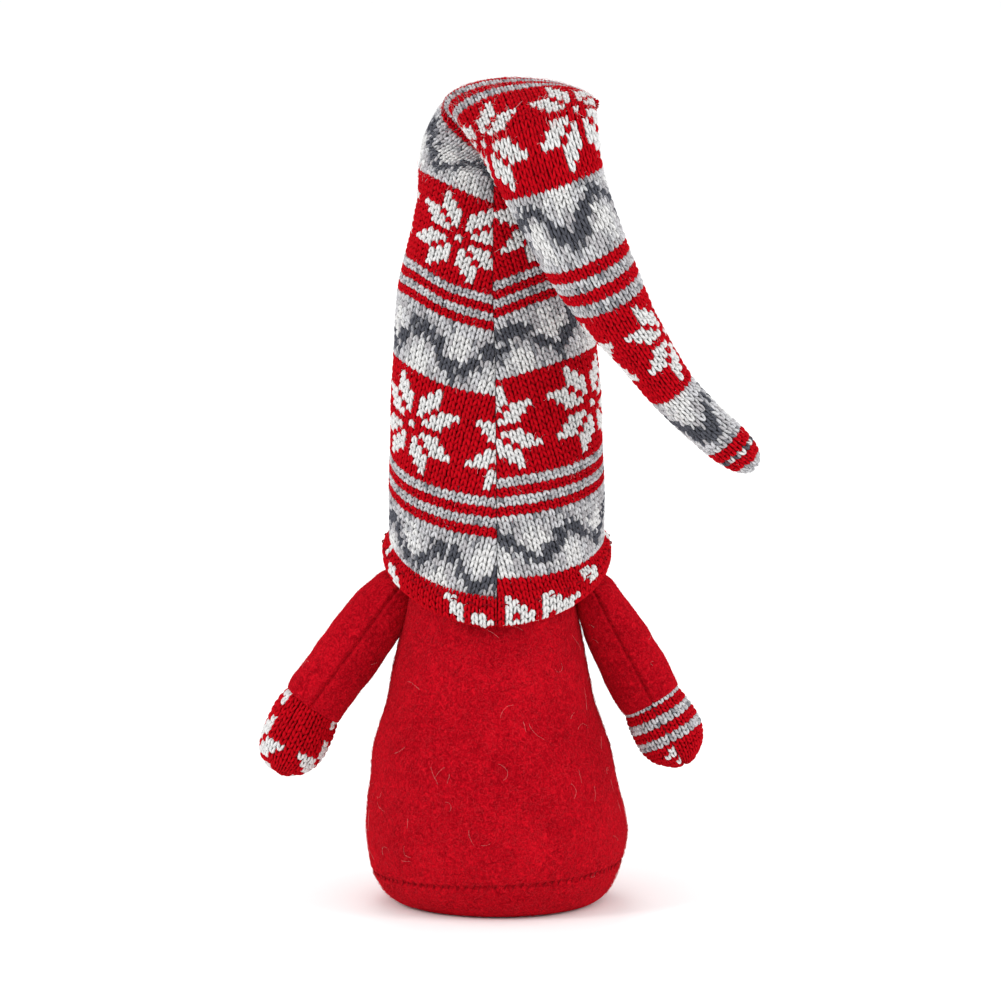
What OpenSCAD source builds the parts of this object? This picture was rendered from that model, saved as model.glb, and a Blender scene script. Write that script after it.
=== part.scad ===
// Tomte gnome: weighted felt bell body, two felt arms with knitted mittens, a nose, a beard
// and a tall knitted hat whose stuffed peak is folded over and hangs down the back.
// Millimetres, +Z up, face towards -Y, origin at the centre of the resting face.

/* [Overall] */
// widest part of the felt body
body_width = 98; // [82:1:118]
// resting face to the top of the hat fold
figure_height = 313.5; // [262:0.5:376]

/* [Cloth] */
// felt of the body, base and sleeves
felt_thickness = 1.5; // [1.2:0.1:1.8]
// knitted cloth of the hat and mittens
knit_thickness = 1.8; // [1.5:0.1:2.2]

/* [Hat] */
// height of the turned hem
hem_height = 10; // [8:0.5:12]
// thickness of the turned hem
hem_thickness = 4; // [3.2:0.2:4.8]
// width of the folded peak, as a share of the drawn one
peak_fullness = 1; // [0.8:0.05:1.1]

/* [Arms] */
// full width of a sleeve
sleeve_width = 24; // [20:0.5:26]
// full width of a mitten
mitten_width = 25; // [20:0.5:30]

/* [Face] */
// nose across
nose_diameter = 22; // [18:1:26]
// fullness of the beard in front of the body
beard_depth = 9.5; // [7:0.5:11.5]

/* [Base] */
// stiffening card in the base
card_thickness = 2; // [1:0.5:2.5]
// sewing thread
thread_diameter = 0.8; // [0.5:0.1:1]

/* [Hidden] */
kx = body_width / 98;
kz = figure_height / 313.5;
ring_points = 48;
fold_gap = 0.3;
sleeve_grow = (sleeve_width - 24) / 2;
mitten_grow = (mitten_width - 25) / 2;

// outside of the felt body: radius, height
body_profile = [
    [47.3, 13.2], [48.6, 20], [49, 28], [48.2, 36], [46.2, 46], [43.3, 58], [40, 67],
    [37.2, 76], [34.8, 90], [33, 104], [31, 118], [29, 127], [26, 140], [20.5, 149], [12, 154.5]
];
// knitted hat below the fold: height, half width, half depth, sideways lean
hat_rows = [
    [112, 40.3, 39.6, 0], [130, 40.5, 36, 0], [148, 40.5, 32.5, 0], [166, 40.3, 29.5, 0],
    [190, 39, 26.5, 0.3], [209, 38, 24.4, 0.6], [224, 36.6, 23.4, 1], [238, 34.5, 23, 1.5],
    [256, 30.5, 24.2, 1.5], [268, 28.4, 23.8, 1.4], [279, 27.7, 23.3, 1.2]
];
// hat turning over at the fold: centre, turn, half width, half depth
fold_rows = [
    [[-0.3, 3, 289], -20, 27.3, 20.5],
    [[-3.5, 8.5, 296.5], -45, 27.2, 16],
    [[-6.5, 13, 301.5], -70, 27.4, 12],
    [[-8.6, 16, 304], -90, 27.5, 9.5]
];
// hanging peak: centre, turn of its depth, half width, half depth
peak_rows = [
    [[-8.6, 16, 304], -90, 27.5, 9.5],
    [[-12, 25, 300.5], -118, 25.8, 10],
    [[-16, 33, 291.5], -150, 22.3, 10.6],
    [[-20.5, 37.2, 279.5], -170, 19.8, 11.2],
    [[-25, 38.7, 268.5], -180, 18.2, 11.6],
    [[-31, 39.2, 255], -180, 16.6, 12],
    [[-37, 39, 243], -180, 15, 12.2],
    [[-46, 38.4, 227], -180, 12.9, 11.6],
    [[-52, 37.6, 218.5], -180, 11.4, 10.8],
    [[-58.5, 37, 209], -180, 10, 9.8],
    [[-66, 36, 199], -180, 8.9, 8.8],
    [[-76, 34.6, 188.5], -180, 8.5, 8.5],
    [[-85.5, 33.2, 180], -180, 8.1, 8.2],
    [[-91.5, 32.3, 174.8], -180, 6.6, 6.6],
    [[-95, 31.8, 171.7], -180, 3.6, 3.6]
];
// sleeve from its sewn end to the cuff: x, z, half width, half depth
left_sleeve_rows = [
    [36, 120.3, 3.6, 5.4], [38, 117.5, 7.2, 9], [42.8, 111.2, 9.6, 11], [48.2, 103.8, 11.6, 12],
    [58, 90, 12, 12.2], [66.4, 80, 12, 12.1], [69.4, 74.3, 11.8, 11.8]
];
right_sleeve_rows = [
    [-36, 119.8, 3.6, 5.4], [-38, 117, 7, 9], [-41.8, 109.5, 8.6, 11], [-45.6, 100.5, 10.8, 12],
    [-51, 88.5, 12, 12.2], [-57.8, 76, 11.8, 11.8]
];
// mitten from the cuff to the tip: x, z, half width, half depth
left_mitten_rows = [
    [69.7, 73.9, 11.4, 11.4], [72.6, 68.3, 12.3, 12], [76.9, 59.4, 12.5, 12.3],
    [79.9, 53.2, 9.8, 10], [81.4, 49.4, 5.4, 5.8]
];
right_mitten_rows = [
    [-58, 75.6, 11.4, 11.4], [-60.8, 70.5, 12.3, 12], [-65, 62.5, 12.4, 12.2],
    [-68, 56.4, 9.8, 10], [-69.6, 52.4, 5.4, 5.8]
];
// beard outline, right half: half width, height
beard_edge = [
    [11, 115], [18, 109], [24, 99], [27, 86], [26.5, 72], [22, 58], [14, 47], [6, 39.5], [0, 36]
];

felt_red = [0.7, 0.07, 0.1];
knit_red = [0.62, 0.05, 0.08];
knit_grey = [0.68, 0.68, 0.7];
fill_white = [0.93, 0.92, 0.88];

function unit(v) = v / norm(v);
function at(p) = [p[0] * kx, p[1] * kx, p[2] * kz];

// direction of a path at one of its rows, with the first one given
function way(path, k, first) =
    k == 0 ? first :
    k == len(path) - 1 ? unit(path[k] - path[k - 1]) :
    unit(path[k + 1] - path[k - 1]);

// closed ring of points around a centre, across a direction
function ring(c, d, depth_way, a, b) =
    let (u = unit(cross(depth_way, d)), v = cross(d, u))
    [for (i = [0:ring_points - 1]) let (t = 360 * i / ring_points) c + a * cos(t) * u + b * sin(t) * v];

function depth_dir(turn) = [0, cos(turn), sin(turn)];

// rows of a path as rings, drawn in by an offset
function path_rings(rows, first, inset, pull = 0) =
    let (path = [for (r = rows) at(r[0])])
    [for (k = [0:len(rows) - 1])
        let (d = way(path, k, first), last = k == len(rows) - 1 ? pull : 0)
        ring(path[k] - last * d, d, depth_dir(rows[k][1]), rows[k][2] * kx - inset, rows[k][3] * kx - inset)];

// hat turning straight back over the fold, as rings
function fold_rings(inset) = [
    for (r = fold_rows)
        ring(at(r[0]), [0, -sin(r[1]), cos(r[1])], depth_dir(r[1]), r[2] * kx - inset, r[3] * kx - inset)
];

function reversed(list) = [for (i = [len(list) - 1:-1:0]) list[i]];

// skin over a list of rings: capped at both ends, or joined end to end
module skin(rings, joined = false) {
    m = len(rings[0]);
    n = len(rings);
    steps = joined ? n : n - 1;
    sides = [
        for (k = [0:steps - 1])
            for (i = [0:m - 1])
                let (p = k * m, q = ((k + 1) % n) * m, j = (i + 1) % m)
                    each [[p + i, q + i, q + j], [p + i, q + j, p + j]]
    ];
    caps = joined ? [] : [
        [for (i = [0:m - 1]) i],
        [for (i = [m - 1:-1:0]) (n - 1) * m + i]
    ];
    polyhedron(points = [for (r = rings) each r], faces = concat(sides, caps), convexity = 6);
}

// height of the lower edge of the hem around the hat, lowest at the back
function hem_z(t) = kz * (127 - 10.2 * sin(t) - 6.2 * sin(t) * sin(t));
function row_value(z, col) = kx * lookup(z / kz, [for (r = hat_rows) [r[0], r[col]]]);
function hat_point(t, z, inset) = [
    row_value(z, 3) + (row_value(z, 1) - inset) * cos(t),
    (row_value(z, 2) - inset) * sin(t),
    z
];

// ring of the hat that starts at the tilted hem and levels out higher up
function hat_ring(share, inset) =
    [for (i = [0:ring_points - 1])
        let (t = 360 * i / ring_points, low = hem_z(t) + hem_height + 0.1)
            hat_point(t, low + (279 * kz - low) * share, inset)];

function hat_rings(inset) = concat(
    [for (share = [0, 0.08, 0.18, 0.3, 0.42, 0.54, 0.64, 0.74, 0.84, 0.92, 1]) hat_ring(share, inset)],
    fold_rings(inset)
);

// sleeve and mitten rows as rings, moved out with a fuller sleeve and in with a thinner one;
// the end that is sewn to the body keeps its own size
function arm_rings(rows, grow, inset, first, pull_first = 0, pull_last = 0, sewn = false) =
    let (
        side = rows[0][0] > 0 ? 1 : -1,
        n = len(rows) - 1,
        path = [for (k = [0:n])
            let (out = sewn && k == 0 ? max(0, sleeve_grow) : sleeve_grow)
            [(rows[k][0] + side * out) * kx, 0, rows[k][1] * kz]]
    )
    [for (k = [0:n])
        let (
            d = way(path, k, first),
            grown = sewn && k == 0 ? 0 : grow,
            shift = k == 0 ? pull_first : k == n ? -pull_last : 0
        )
        ring(path[k] + shift * d, d, [0, 1, 0], rows[k][2] * kx + grown - inset,
            rows[k][3] * kx + grown - inset)];

function arm_way(rows) = unit([(rows[1][0] - rows[0][0]) * kx, 0, (rows[1][1] - rows[0][1]) * kz]);

// felt bell, open at the base seam
module body_felt() {
    outer = [for (p = body_profile) [p[0] * kx, p[1] * kz]];
    inner = [for (p = reversed(body_profile)) [p[0] * kx - felt_thickness, p[1] * kz]];
    color(felt_red)
    rotate_extrude($fn = 96)
    polygon(concat(
        outer,
        [[0, 156.5 * kz], [0, 156.5 * kz - felt_thickness]],
        [for (i = [0:len(inner) - 1]) i == 0 ? inner[i] - [0, felt_thickness * 0.9] : inner[i]]
    ));
}

// felt cup that wraps the flat base
module base_felt() {
    t = felt_thickness;
    color(felt_red)
    rotate_extrude($fn = 96)
    polygon([
        [0, 0], [37 * kx, 0], [40 * kx, 1.2], [42.6 * kx, 4.5 * kz], [45.4 * kx, 9 * kz],
        [47.2 * kx, 13.1 * kz], [47.2 * kx - t, 13.1 * kz], [45 * kx - t, 9.5 * kz],
        [42 * kx - t, 5.4 * kz + 0.3], [39.6 * kx - t, 2.8], [37 * kx - t, t], [0, t]
    ]);
}

module base_card() {
    color([0.72, 0.6, 0.44])
    translate([0, 0, felt_thickness + 0.1])
    cylinder(r = 35 * kx, h = card_thickness, $fn = 96);
}

// cloth bag of plastic pellets that weights the base
module pellet_bag() {
    low = felt_thickness + card_thickness + 0.3;
    color([0.85, 0.84, 0.8])
    rotate_extrude($fn = 96)
    polygon([
        [0, low], [34 * kx, low], [38.5 * kx, low + 3.2], [42.5 * kx, 14 * kz],
        [44.6 * kx, 20 * kz], [45 * kx, 28 * kz], [43.6 * kx, 35 * kz], [37 * kx, 40.5 * kz],
        [0, 41.5 * kz]
    ]);
}

module body_stuffing() {
    t = felt_thickness + 0.4;
    color(fill_white)
    rotate_extrude($fn = 96)
    polygon([
        [0, 42 * kz], [46.6 * kx - t, 42 * kz], [43.3 * kx - t, 57.6 * kz],
        [39.9 * kx - t, 66.8 * kz], [37 * kx - t, 75.8 * kz], [34.7 * kx - t, 89.8 * kz],
        [32.9 * kx - t, 103.8 * kz], [30.9 * kx - t, 117.6 * kz], [28.8 * kx - t, 126.4 * kz],
        [25.6 * kx - t, 139 * kz], [19.8 * kx - t, 147.5 * kz], [9 * kx, 151.4 * kz],
        [0, 152.6 * kz]
    ]);
}

// thread laid over the seam between the bell and the base
module base_seam_thread() {
    r = thread_diameter / 2;
    color(knit_red)
    translate([0, 0, 13.2 * kz])
    rotate_extrude($fn = 96)
    translate([47.5 * kx + r + 0.1, 0])
    circle(r = r, $fn = 16);
}

// knitted hat from the hem to the fold
module hat_panel() {
    color(knit_grey)
    skin(concat(hat_rings(0), reversed(hat_rings(knit_thickness))), joined = true);
}

// turned hem that follows the tilted lower edge of the hat
module hat_hem() {
    color(knit_red)
    skin([
        for (k = [0:71])
            let (
                f = 360 * k / 72,
                z = hem_z(f) + hem_height / 2,
                c = hat_point(f, z, knit_thickness / 2 + 0.4),
                out = unit([cos(f), sin(f) * 1.05, 0])
            )
            [for (i = [0:13])
                let (t = 360 * i / 14)
                c + [0, 0, hem_height / 2 * cos(t)] + hem_thickness / 2 * sin(t) * out]
    ], joined = true);
}

// running thread that holds the hem down
module hem_thread() {
    r = thread_diameter / 2;
    color([0.45, 0.02, 0.05])
    skin([
        for (k = [0:71])
            let (
                f = 360 * k / 72,
                z = hem_z(f) + hem_height / 2,
                c = hat_point(f, z, knit_thickness / 2 + 0.4),
                out = unit([cos(f), sin(f) * 1.05, 0])
            )
            [for (i = [0:7])
                let (t = 360 * i / 8)
                c + (hem_thickness / 2 + r + 0.12) * out + [0, 0, r * cos(t)] + r * sin(t) * out]
    ], joined = true);
}

// seam allowance inside the hat, down the middle of the back
module hat_seam() {
    rows = [for (z = [134:12:266]) z];
    color(knit_grey)
    skin([
        for (z = rows)
            let (y = row_value(z * kz, 2) - knit_thickness - 1.2, x = row_value(z * kz, 3))
            [for (i = [0:11])
                let (t = 360 * i / 12)
                [x + 3 * kx * cos(t), y + 0.9 * sin(t), z * kz]]
    ]);
}

// soft filling of the hat, hollowed over the top of the body
module hat_stuffing() {
    inset = knit_thickness + 2.5;
    dome = [[13, 155.6], [21.6, 150.2], [27.4, 141], [29.6, 136]];
    over_body = [
        for (p = dome)
            [for (i = [0:ring_points - 1])
                let (t = 360 * i / ring_points)
                [p[0] * kx * cos(t), p[0] * kx * sin(t), p[1] * kz + 1.2]]
    ];
    outside = [
        for (z = [137.2, 150, 166, 190, 209, 224, 238, 256, 268, 278])
            [for (i = [0:ring_points - 1])
                hat_point(360 * i / ring_points, z * kz, inset + (z < 140 ? 0.6 : 0))]
    ];
    color(fill_white)
    skin(concat(over_body, outside, fold_rings(inset)));
}

nose_at = [0, -(row_value(130 * kz, 2) + nose_diameter / 2 - 0.5), 125 * kz];

// nose covered in cloth, gathered into a neck that is sewn to the body
module nose_cover() {
    r = nose_diameter / 2;
    color([0.87, 0.66, 0.54])
    difference() {
        union() {
            translate(nose_at)
            sphere(r = r, $fn = 48);
            translate([0, -29.9 * kx, 125 * kz])
            rotate([90, 0, 0])
            cylinder(r = 3, h = -nose_at[1] - 29.9 * kx - r + 1.5, $fn = 32);
        }
        translate(nose_at)
        sphere(r = r - 1.2, $fn = 48);
    }
}

module nose_stuffing() {
    color(fill_white)
    translate(nose_at)
    sphere(r = nose_diameter / 2 - 1.4, $fn = 48);
}

// short row of stitches that holds a sleeve end to the body
module shoulder_thread(side) {
    r = thread_diameter / 2;
    color(knit_red)
    translate([side * (30.7 * kx + r + 0.1), 0, 120.2 * kz])
    rotate([90, 0, 0])
    cylinder(r = r, h = 9 * kx, center = true, $fn = 16);
}

module left_shoulder_thread() {
    shoulder_thread(1);
}

module right_shoulder_thread() {
    shoulder_thread(-1);
}

// slab wrapped round the front of the body, between two distances from it
module front_wrap(near, far, edge) {
    z_low = 34;
    heights = [for (p = reversed(body_profile)) if (p[1] < 117 && p[1] > z_low) p[1]];
    all_z = concat([115.4], heights, [z_low]);
    spread = [for (z = all_z) lookup(z, [[34, 0.35], [46, 0.75], [62, 0.95], [80, 1], [98, 0.8], [115.4, 0.12]])];
    radius = [for (z = all_z) lookup(z, [for (p = body_profile) [p[1], p[0]]]) * kx];
    n = len(all_z) - 1;
    intersection() {
        rotate_extrude($fn = 96)
        polygon(concat(
            [for (k = [0:n]) [radius[k] + near, all_z[k] * kz]],
            [for (k = [n:-1:0]) [radius[k] + far[0] + far[1] * spread[k], all_z[k] * kz]]
        ));
        rotate([90, 0, 0])
        linear_extrude(height = 80 * kx)
        polygon(concat(
            [for (p = edge) [p[0] * kx, p[1] * kz]],
            [for (p = reversed(edge)) [-p[0] * kx, p[1] * kz]]
        ));
    }
}

// cloth that the beard hair is rooted in
module beard_backing() {
    color([0.8, 0.78, 0.72])
    front_wrap(0.6, [1.8, 0], beard_edge);
}

// body of the beard hair
module beard_fur() {
    color(fill_white)
    front_wrap(2, [2.6, beard_depth], beard_edge);
}

module sleeve(rows) {
    t = felt_thickness - 0.1;
    d = arm_way(rows);
    color(felt_red)
    skin(concat(
        arm_rings(rows, sleeve_grow, 0, d, sewn = true),
        reversed(arm_rings(rows, sleeve_grow, t, d, t, sewn = true))
    ));
}

module mitten(rows) {
    t = knit_thickness;
    d = arm_way(rows);
    color(knit_grey)
    skin(concat(
        reversed(arm_rings(rows, mitten_grow, t, d, 0, t)),
        arm_rings(rows, mitten_grow, 0, d)
    ));
}

// filling of one arm, drawn in from the sleeve and from the mitten
module arm_stuffing(sleeve_rows, mitten_rows) {
    t = max(felt_thickness, knit_thickness) + 0.5;
    first = [for (k = [1:len(sleeve_rows) - 2]) grown_row(sleeve_rows[k], sleeve_grow)];
    last = [for (k = [0:len(mitten_rows) - 2]) grown_row(mitten_rows[k], mitten_grow)];
    color(fill_white)
    skin(arm_rings(concat(first, last), 0, t + 0.3 + max(0, sleeve_grow) * 0.5, arm_way(first)));
}

function grown_row(row, grow) = [row[0], row[1], row[2] + grow, row[3] + grow];

module left_sleeve() {
    sleeve(left_sleeve_rows);
}

module left_mitten() {
    mitten(left_mitten_rows);
}

module left_arm_stuffing() {
    arm_stuffing(left_sleeve_rows, left_mitten_rows);
}

module right_sleeve() {
    sleeve(right_sleeve_rows);
}

module right_mitten() {
    mitten(right_mitten_rows);
}

module right_arm_stuffing() {
    arm_stuffing(right_sleeve_rows, right_mitten_rows);
}

function peak_path() = [
    for (k = [0:len(peak_rows) - 1])
        let (r = peak_rows[k], full = k < 3 ? 1 : peak_fullness)
        [k == 0 ? r[0] + [0, fold_gap / kx, 0] : r[0], r[1], r[2] * full, r[3] * full]
];

// knitted peak of the hat, from the fold to its rounded tip
module hat_tail() {
    t = knit_thickness;
    color(knit_grey)
    skin(concat(
        reversed(path_rings(peak_path(), [0, 1, 0], t, t)),
        path_rings(peak_path(), [0, 1, 0], 0)
    ));
}

module tail_stuffing() {
    rows = peak_path();
    inner = [for (k = [0:len(rows) - 2]) rows[k]];
    color(fill_white)
    skin(path_rings(inner, [0, 1, 0], knit_thickness + 0.6, 1));
}

body_felt();
base_felt();
base_card();
pellet_bag();
body_stuffing();
base_seam_thread();
hat_panel();
hat_hem();
hem_thread();
hat_seam();
hat_stuffing();
nose_cover();
nose_stuffing();
left_shoulder_thread();
right_shoulder_thread();
beard_backing();
beard_fur();
left_sleeve();
left_mitten();
left_arm_stuffing();
right_sleeve();
right_mitten();
right_arm_stuffing();
hat_tail();
tail_stuffing();
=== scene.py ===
# Tomte gnome: weighted felt bell, felt arms with knitted mittens, beard, nose and a tall
# jacquard hat whose stuffed peak folds over and hangs down the back.
import math

import bpy
import numpy as np
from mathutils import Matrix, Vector


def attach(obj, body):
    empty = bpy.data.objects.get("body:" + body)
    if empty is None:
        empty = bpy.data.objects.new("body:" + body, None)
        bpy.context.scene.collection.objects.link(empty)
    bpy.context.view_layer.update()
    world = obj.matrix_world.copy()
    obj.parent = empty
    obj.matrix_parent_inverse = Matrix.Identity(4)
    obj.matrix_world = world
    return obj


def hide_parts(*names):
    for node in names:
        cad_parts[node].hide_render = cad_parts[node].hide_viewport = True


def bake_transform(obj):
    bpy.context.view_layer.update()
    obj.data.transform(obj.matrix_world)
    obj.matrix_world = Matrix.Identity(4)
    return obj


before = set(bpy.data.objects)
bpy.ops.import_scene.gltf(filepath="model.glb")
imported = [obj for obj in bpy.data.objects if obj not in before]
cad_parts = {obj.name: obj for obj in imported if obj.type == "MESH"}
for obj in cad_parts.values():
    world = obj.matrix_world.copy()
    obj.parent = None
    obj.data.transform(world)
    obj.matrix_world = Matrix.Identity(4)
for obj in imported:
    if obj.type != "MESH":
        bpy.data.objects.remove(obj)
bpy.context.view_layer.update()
rng = np.random.default_rng(1906)
mm = 0.001


# shader helpers
class Wire:
    # a socket that can be used in plain sums
    def __init__(self, cloth, socket):
        self.cloth = cloth
        self.socket = socket

    def calc(self, op, *values):
        n = self.cloth.tree.nodes.new("ShaderNodeMath")
        n.operation = op
        for k, v in enumerate(values):
            self.cloth.feed(n.inputs[k], v)
        return Wire(self.cloth, n.outputs[0])

    def __add__(self, o):
        return self.calc("ADD", self, o)

    def __radd__(self, o):
        return self.calc("ADD", o, self)

    def __mul__(self, o):
        return self.calc("MULTIPLY", self, o)

    def __rmul__(self, o):
        return self.calc("MULTIPLY", o, self)

    def sin(self):
        return self.calc("SINE", self)

    def power(self, o):
        return self.calc("POWER", self, o)

    def clip(self):
        w = self.calc("ADD", self, 0.0)
        w.socket.node.use_clamp = True
        return w


class Cloth:
    # one material: a principled surface and the nodes that feed it
    def __init__(self, name, roughness=0.9, sheen=0.0, sheenRough=0.5, sheenTint=(1, 1, 1), gloss=0.12):
        self.mat = bpy.data.materials.new(name)
        self.mat.use_nodes = True
        self.tree = self.mat.node_tree
        self.shader = self.tree.nodes["Principled BSDF"]
        self.shader.inputs["Roughness"].default_value = roughness
        self.shader.inputs["Specular IOR Level"].default_value = gloss
        self.shader.inputs["Sheen Weight"].default_value = sheen
        self.shader.inputs["Sheen Roughness"].default_value = sheenRough
        self.shader.inputs["Sheen Tint"].default_value = (*sheenTint, 1)

    def feed(self, socket, v):
        if isinstance(v, Wire):
            self.tree.links.new(v.socket, socket)
        elif hasattr(v, "__len__") and socket.type == "RGBA":
            socket.default_value = (*v[:3], 1)
        else:
            socket.default_value = v

    def node(self, kind, settings=None, out=0, **sockets):
        n = self.tree.nodes.new("ShaderNode" + kind)
        for key, v in (settings or {}).items():
            setattr(n, key, v)
        for key, v in sockets.items():  # i0, i1 and so on stand for a socket by its number
            self.feed(n.inputs[int(key[1:]) if key[1:].isdigit() else key], v)
        return Wire(self, n.outputs[out])

    def mix(self, fac, a, b, blend="MIX"):
        n = self.tree.nodes.new("ShaderNodeMix")
        n.data_type = "RGBA"
        n.blend_type = blend
        self.feed(n.inputs[0], fac)
        self.feed(n.inputs[6], a)
        self.feed(n.inputs[7], b)
        return Wire(self, n.outputs[2])

    def stretch(self, coords, scale):
        n = self.tree.nodes.new("ShaderNodeVectorMath")
        n.operation = "MULTIPLY"
        self.feed(n.inputs[0], coords)
        n.inputs[1].default_value = scale
        return Wire(self, n.outputs[0])

    def noise(self, coords, scale, detail=2.0, rough=0.5):
        return self.node("TexNoise", out=0, Vector=coords, Scale=scale, Detail=detail, Roughness=rough)

    def place(self):
        return self.node("TexCoord", out=3)

    def uv(self, name):
        return self.node("UVMap", {"uv_map": name})

    def parts(self, vec):
        n = self.tree.nodes.new("ShaderNodeSeparateXYZ")
        self.feed(n.inputs[0], vec)
        return Wire(self, n.outputs[0]), Wire(self, n.outputs[1])

    def span(self, value, low, high, toLow=0.0, toHigh=1.0):
        return self.node("MapRange", i0=value, i1=low, i2=high, i3=toLow, i4=toHigh)

    def finish(self, colour=None, rough=None, height=None, strength=0.3, depth=0.0004):
        if colour is not None:
            self.feed(self.shader.inputs["Base Color"], colour)
        if rough is not None:
            self.feed(self.shader.inputs["Roughness"], rough)
        if height is not None:
            n = self.tree.nodes.new("ShaderNodeBump")
            n.inputs["Strength"].default_value = strength
            n.inputs["Distance"].default_value = depth
            self.feed(n.inputs["Height"], height)
            self.tree.links.new(n.outputs[0], self.shader.inputs["Normal"])
        return self.mat


def tintOf(colour, gain, floor):
    return tuple(min(1, floor + gain * v) for v in colour)


def shadeOf(colour, share):
    return tuple(v * share for v in colour)


def yarn(name, colour, heather=0.25, dark=0.62, fleck=None):
    # woollen yarn: twisted plies, fibres along the strand, a shade of its own for every stitch and painted shade in
    # the grooves between the plies
    c = Cloth(name, 0.92, sheen=0.12, sheenRough=0.5, sheenTint=tintOf(colour, 1.6, 0.04), gloss=0.03)
    strand = c.uv("strand")
    along, around = c.parts(strand)
    own = c.node("TexWhiteNoise", {"noise_dimensions": "2D"}, out=0, Vector=c.uv("stitch"))
    fibre = c.noise(c.stretch(strand, (2.4, 11.0, 1.0)), 1.3, 4.0, 0.7)
    fuzz = c.noise(c.stretch(c.place(), (1900.0, 1900.0, 1900.0)), 1.0, 2.0)
    ply = ((along * 3.1 + around * 6.2832).sin() * 0.5 + 0.5).power(0.7)
    shade = shadeOf(colour, dark)
    light = tuple(min(0.9, v * 1.18 + 0.001) for v in colour)
    base = c.mix((own * heather + fibre * (1.0 - heather)).clip(), shade, light)
    if fleck:
        base = c.mix(c.span(fibre * 0.6 + own * 0.4, 0.50, 0.66), base, fleck)
    # painted shade: the colour is darkened in the grooves between the plies
    plyGrooveShade = c.span(ply, 0.0, 0.45, 0.72, 1.0)
    base = c.mix(1.0, base, c.mix(plyGrooveShade, (0.0, 0.0, 0.0), (1.0, 1.0, 1.0)), "MULTIPLY")
    return c.finish(base, 0.84 + 0.12 * fuzz, ply * 0.6 + fibre * 0.55 + fuzz * 0.35, 0.55, 0.00022)


def felt(name, colour, shadeTo=0.7, scale=1.0):
    # pressed wool felt: cloudy dye, short matted nap, painted shade in darker pores and a painted highlight on pale
    # hairs
    c = Cloth(name, 0.95, sheen=0.35, sheenRough=0.35, sheenTint=tintOf(colour, 2.0, 0.03), gloss=0.0)
    p = c.place()
    cloud = c.noise(p, 38.0 * scale, 3.0)
    mat = c.node("TexNoise", out=0, Vector=p, Scale=430.0 * scale, Detail=5.0, Roughness=0.78, Distortion=2.2)
    pore = c.noise(c.stretch(p, (1.0, 1.0, 0.6)), 1500.0 * scale, 3.0, 0.7)
    worm = c.node("TexVoronoi", {"feature": "F1"}, out=0, Vector=c.stretch(p, (1.0, 1.0, 1.0)), Scale=900.0 * scale)
    deep, pale = shadeOf(colour, shadeTo), tintOf(colour, 1.22, 0.002)
    base = c.mix(c.span(cloud * 0.2 + mat * 0.8, 0.41, 0.61), deep, pale)
    base = c.mix(c.span(pore, 0.53, 0.70, 0.0, 0.65), base, shadeOf(colour, 0.35))  # pores: painted shade
    base = c.mix(c.span(pore, 0.26, 0.42, 0.5, 0.0), base, tintOf(colour, 1.5, 0.02))  # pale hairs: painted highlight
    return c.finish(base, 0.88 + 0.1 * mat, mat * 0.9 + pore * 0.6 + worm * 0.3, 0.85, 0.0007)


def fibreMat(name, colour, tipHighlight, vary=0.3):
    # single hairs and loose wool, paler towards the tip: painted shade at the root and a painted highlight at the
    # tip, with random tone
    c = Cloth(name, 0.8, gloss=0.04)
    strand = c.uv("strand")
    along, around = c.parts(strand)
    own = c.node("TexWhiteNoise", {"noise_dimensions": "2D"}, out=0, Vector=c.uv("stitch"))
    streak = c.noise(c.stretch(strand, (3.0, 40.0, 1.0)), 1.0, 3.0)
    base = c.mix((own * vary + streak * 0.4 + along * 0.3).clip(), colour, tipHighlight)
    return c.finish(base, 0.62 + 0.2 * streak)


# mesh helpers
def meshFrom(name, verts, polys, mats, matIndex=None, uvs=None):
    # verts in millimetres, polys a list of arrays with one row for each face
    verts = np.asarray(verts, np.float64) * mm
    me = bpy.data.meshes.new(name)
    me.vertices.add(len(verts))
    me.vertices.foreach_set("co", verts.ravel())
    loops = np.concatenate([p.ravel() for p in polys]).astype(np.int32)
    totals = np.concatenate([np.full(len(p), p.shape[1], np.int32) for p in polys])
    starts = np.concatenate([[0], np.cumsum(totals)[:-1]]).astype(np.int32)
    me.loops.add(len(loops))
    me.loops.foreach_set("vertex_index", loops)
    me.polygons.add(len(totals))
    me.polygons.foreach_set("loop_start", starts)
    me.polygons.foreach_set("loop_total", totals)
    if matIndex is not None:
        me.polygons.foreach_set("material_index", np.asarray(matIndex, np.int32))
    for layer, values in (uvs or {}).items():
        uv = me.uv_layers.new(name=layer)
        uv.data.foreach_set("uv", np.asarray(values, np.float32).ravel())
    me.update(calc_edges=True)
    me.polygons.foreach_set("use_smooth", np.ones(len(totals), bool))
    ob = bpy.data.objects.new(name, me)
    bpy.context.scene.collection.objects.link(ob)
    for m in mats:
        me.materials.append(m)
    return ob


def smoothRows(rows, count):
    # catmull-rom through rows of numbers or of points, evenly by row number
    rows = np.asarray(rows, float)
    n = len(rows)
    q = np.linspace(0, n - 1, count)
    k = np.clip(q.astype(int), 0, n - 2)
    t = (q - k).reshape(-1, *([1] * (rows.ndim - 1)))
    a, b, c, d = rows[np.maximum(k - 1, 0)], rows[k], rows[k + 1], rows[np.minimum(k + 2, n - 1)]
    return 0.5 * (2 * b + (c - a) * t + (2 * a - 5 * b + 4 * c - d) * t**2 + (3 * b - a - 3 * c + d) * t**3)


def unit(v):
    return v / np.maximum(np.linalg.norm(v, axis=-1, keepdims=True), 1e-12)


def ringAngles(count):
    return np.radians(-90 + 360 * np.arange(count) / count)


def ringAt(centre, way, depthWay, a, b, count=96):
    # closed ring across a direction, from its front edge round towards +X
    t = ringAngles(count)
    u = unit(np.cross(depthWay, way))
    v = np.cross(way, u)
    return np.asarray(centre) + np.outer(a * np.cos(t), u) + np.outer(b * np.sin(t), v)


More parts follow.
